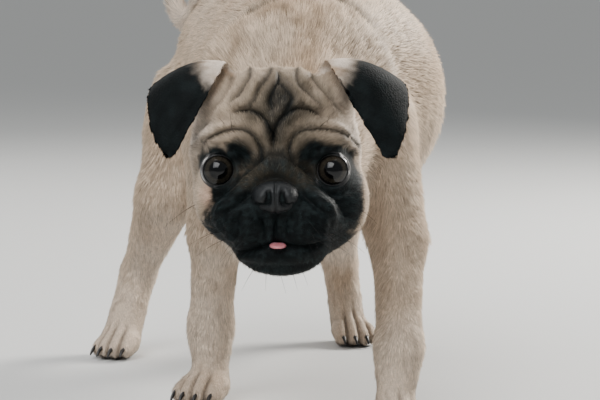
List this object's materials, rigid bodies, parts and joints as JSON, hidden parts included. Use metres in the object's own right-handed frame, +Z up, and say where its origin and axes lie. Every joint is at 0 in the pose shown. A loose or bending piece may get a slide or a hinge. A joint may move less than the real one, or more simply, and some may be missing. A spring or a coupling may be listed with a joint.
{
  "type": "pug, a still life-size model",
  "caption": "Life-size model of a young short-coated dog with a black mask, walking with its head lowered and turned, tail curled over the hip.",
  "frame": {"origin": "on the floor, at the centre of the dog's box", "axes": "+Z up, the trunk along Y with the chest towards -Y, the dog's left side towards +X; the paws stand on z = 0"},
  "size_m": [0.2348, 0.4612, 0.3153],
  "materials": {
    "coat": "short fawn coat",
    "mask": "short black velvet coat of the ears",
    "eye": "wet dark brown eye",
    "leather": "moist black nose leather",
    "tongue": "moist pink tongue",
    "claw": "black horn"
  },
  "bodies": {
    "root": {"claw_front_left_1": "claw", "claw_front_left_2": "claw", "claw_front_left_3": "claw", "claw_front_left_4": "claw", "claw_front_right_1": "claw", "claw_front_right_2": "claw", "claw_front_right_3": "claw", "claw_front_right_4": "claw", "claw_hind_left_1": "claw", "claw_hind_left_2": "claw", "claw_hind_left_3": "claw", "claw_hind_left_4": "claw", "claw_hind_right_1": "claw", "claw_hind_right_2": "claw", "claw_hind_right_3": "claw", "claw_hind_right_4": "claw", "ear_left": "mask", "ear_right": "mask", "eye_left": "eye", "eye_right": "eye", "head": "coat", "leg_front_left_lower": "coat", "leg_front_left_paw": "coat", "leg_front_left_upper": "coat", "leg_front_right_lower": "coat", "leg_front_right_paw": "coat", "leg_front_right_upper": "coat", "leg_hind_left_paw": "coat", "leg_hind_left_shank": "coat", "leg_hind_left_thigh": "coat", "leg_hind_right_paw": "coat", "leg_hind_right_shank": "coat", "leg_hind_right_thigh": "coat", "neck": "coat", "nose": "leather", "tail_1": "coat", "tail_2": "coat", "tail_3": "coat", "tongue": "tongue", "torso": "coat"}
  },
  "joints": []
}
